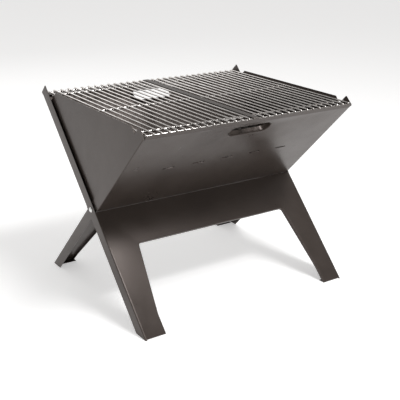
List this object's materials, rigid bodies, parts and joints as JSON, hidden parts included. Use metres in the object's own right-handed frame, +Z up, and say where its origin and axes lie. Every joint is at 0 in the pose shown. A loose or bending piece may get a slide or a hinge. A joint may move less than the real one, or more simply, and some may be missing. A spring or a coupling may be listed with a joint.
{
  "type": "folding camp grill",
  "caption": "Folding sheet-steel camp grill: two pivoting X frames hold a V-shaped fire box with a lift-off wire cooking grate.",
  "frame": {"origin": "on the ground, in the middle of the grill's overall footprint when it stands open", "axes": "+X along the pivot line (the length), -Y towards the front wall, +Z up"},
  "size_m": [0.4552, 0.3788, 0.3678],
  "materials": {
    "painted_steel": "satin heat-resistant anthracite paint",
    "plated_wire": "bright nickel-chrome plating",
    "zinc_steel": "plain zinc plating",
    "black_steel": "matt black, heat darkened"
  },
  "bodies": {
    "outer_frame": {"rear_wall_panel": "painted_steel", "front_leg_panel": "painted_steel", "front_leg_hem": "painted_steel", "front_feet": "painted_steel", "left_outer_strip": "painted_steel", "right_outer_strip": "painted_steel", "left_pivot_rivet": "zinc_steel", "right_pivot_rivet": "zinc_steel", "left_pivot_spacer": "zinc_steel", "right_pivot_spacer": "zinc_steel", "left_pivot_cap": "zinc_steel", "right_pivot_cap": "zinc_steel"},
    "inner_frame": {"front_wall_panel": "painted_steel", "rear_leg_panel": "painted_steel", "rear_leg_hem": "painted_steel", "rear_feet": "painted_steel", "left_inner_strip": "painted_steel", "right_inner_strip": "painted_steel"},
    "cooking_grate": {"grate_bars": "plated_wire", "grate_bar_tips": "plated_wire", "grate_middle_strip": "plated_wire", "grate_front_edge_wire": "plated_wire", "grate_rear_edge_wire": "plated_wire", "grate_front_stop_wire": "plated_wire", "grate_rear_stop_wire": "plated_wire", "grate_middle_wire": "plated_wire"},
    "charcoal_grate": {"coal_grate_bars": "black_steel", "coal_grate_front_rail": "black_steel", "coal_grate_rear_rail": "black_steel"},
    "ash_tray": {"ash_tray": "black_steel"},
    "left_plate": {"left_end_plate": "painted_steel"},
    "right_plate": {"right_end_plate": "painted_steel"}
  },
  "joints": [
    {"name": "frame_fold", "type": "hinge", "parent": "outer_frame", "child": "inner_frame", "pos_m": [0, -0.00098, 0.175], "axis": [-1, 0, 0], "range_deg": [0, 87.5]},
    {"name": "grate_lift", "type": "slide", "parent": "outer_frame", "child": "cooking_grate", "axis": [0, 0, 1], "range_m": [0, 0.66]},
    {"name": "left_plate_lift", "type": "slide", "parent": "outer_frame", "child": "left_plate", "axis": [0, 0, 1], "range_m": [0, 0.65]},
    {"name": "right_plate_lift", "type": "slide", "parent": "outer_frame", "child": "right_plate", "axis": [0, 0, 1], "range_m": [0, 0.65]},
    {"name": "charcoal_grate_lift", "type": "slide", "parent": "outer_frame", "child": "charcoal_grate", "axis": [0, 0, 1], "range_m": [0, 0.64]},
    {"name": "ash_tray_lift", "type": "slide", "parent": "outer_frame", "child": "ash_tray", "axis": [0, 0, 1], "range_m": [0, 0.63]}
  ],
  "couplings": [
    {"joint": "grate_lift", "follows": "frame_fold", "m_per_rad": 0.43},
    {"joint": "left_plate_lift", "follows": "frame_fold", "m_per_rad": 0.42},
    {"joint": "right_plate_lift", "follows": "frame_fold", "m_per_rad": 0.42},
    {"joint": "charcoal_grate_lift", "follows": "frame_fold", "m_per_rad": 0.41},
    {"joint": "ash_tray_lift", "follows": "frame_fold", "m_per_rad": 0.4}
  ]
}
